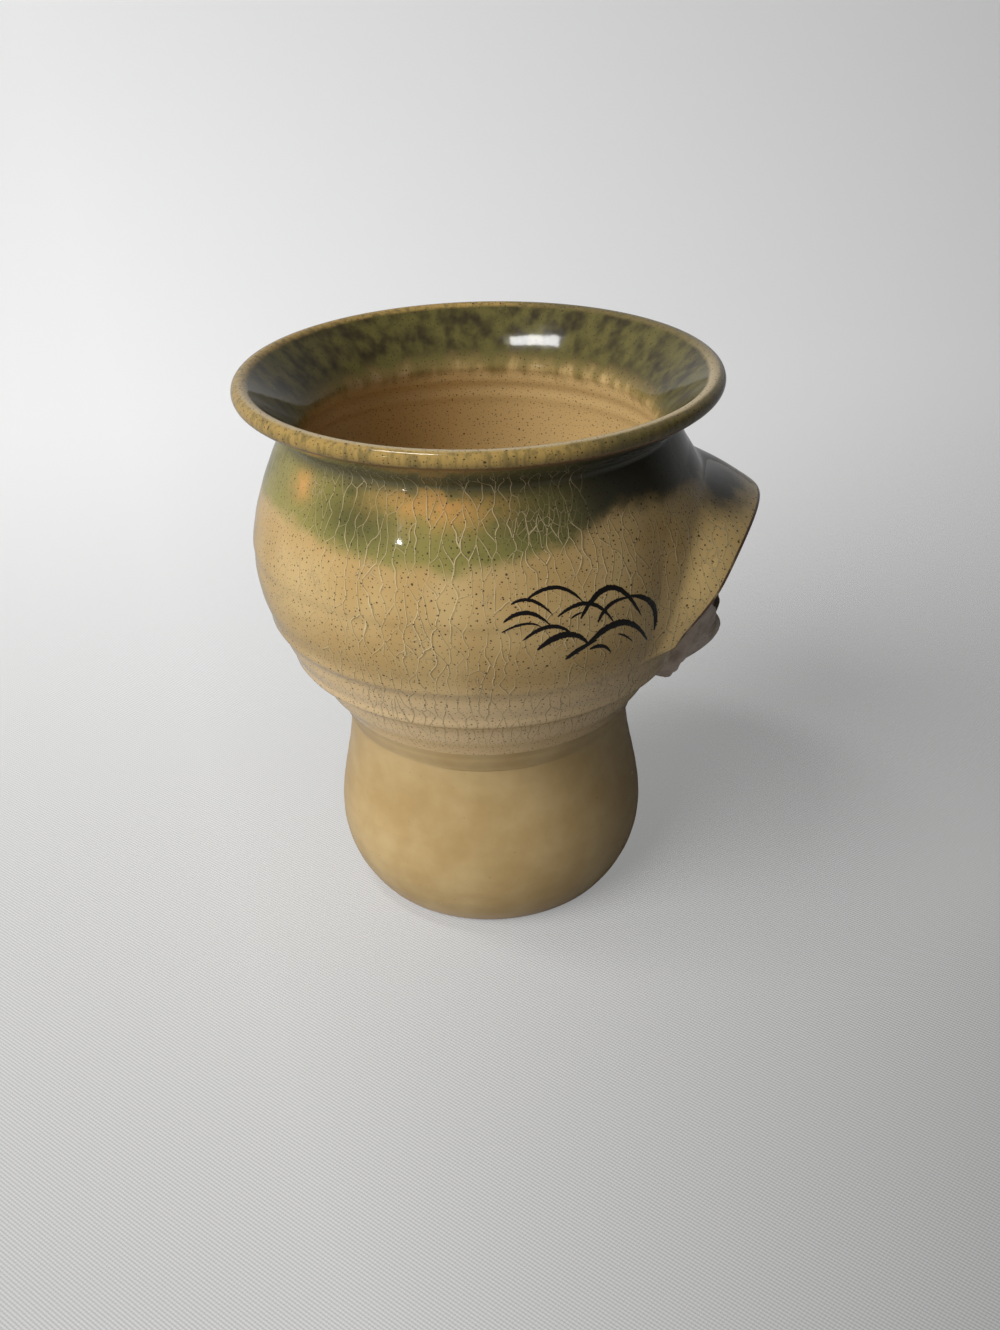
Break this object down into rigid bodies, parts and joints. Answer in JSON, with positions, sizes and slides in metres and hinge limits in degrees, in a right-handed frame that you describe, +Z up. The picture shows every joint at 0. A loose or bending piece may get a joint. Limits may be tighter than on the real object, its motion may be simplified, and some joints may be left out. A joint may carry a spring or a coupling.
{
  "type": "face mug",
  "caption": "Goblet-shaped stoneware drinking mug with a flared lip, a hollow bulb foot and a calm bearded face under a hood on its wall.",
  "frame": {"origin": "centre of the flat base, on the axis the foot and bowl were thrown about", "axes": "+Z up along that axis; the hooded face looks along -Y"},
  "size_m": [0.09, 0.0989, 0.1075],
  "materials": {
    "bowl_glaze": "glossy ash glaze, crackled, with a copper-green shoulder and iron specks",
    "foot_glaze": "glossy plain tan glaze, faintly crackled",
    "bare_clay": "matt unglazed stoneware",
    "beard_clay": "matt unglazed stoneware, combed",
    "dark_clay": "matt stoneware with an iron wash",
    "eye_glaze": "glossy pale slip with a dark iris"
  },
  "bodies": {
    "root": {"foot": "foot_glaze", "bowl": "bowl_glaze", "luting_coil": "foot_glaze", "cowl": "bowl_glaze", "face_mask": "bare_clay", "nose": "bare_clay", "upper_lip": "bare_clay", "lower_lip": "bare_clay", "beard": "beard_clay", "eyeball_left": "eye_glaze", "eyeball_right": "eye_glaze", "upper_lid_left": "bare_clay", "upper_lid_right": "bare_clay", "lower_lid_left": "bare_clay", "lower_lid_right": "bare_clay", "brow_left": "dark_clay", "brow_right": "dark_clay", "moustache_left": "dark_clay", "moustache_right": "dark_clay"}
  },
  "joints": []
}
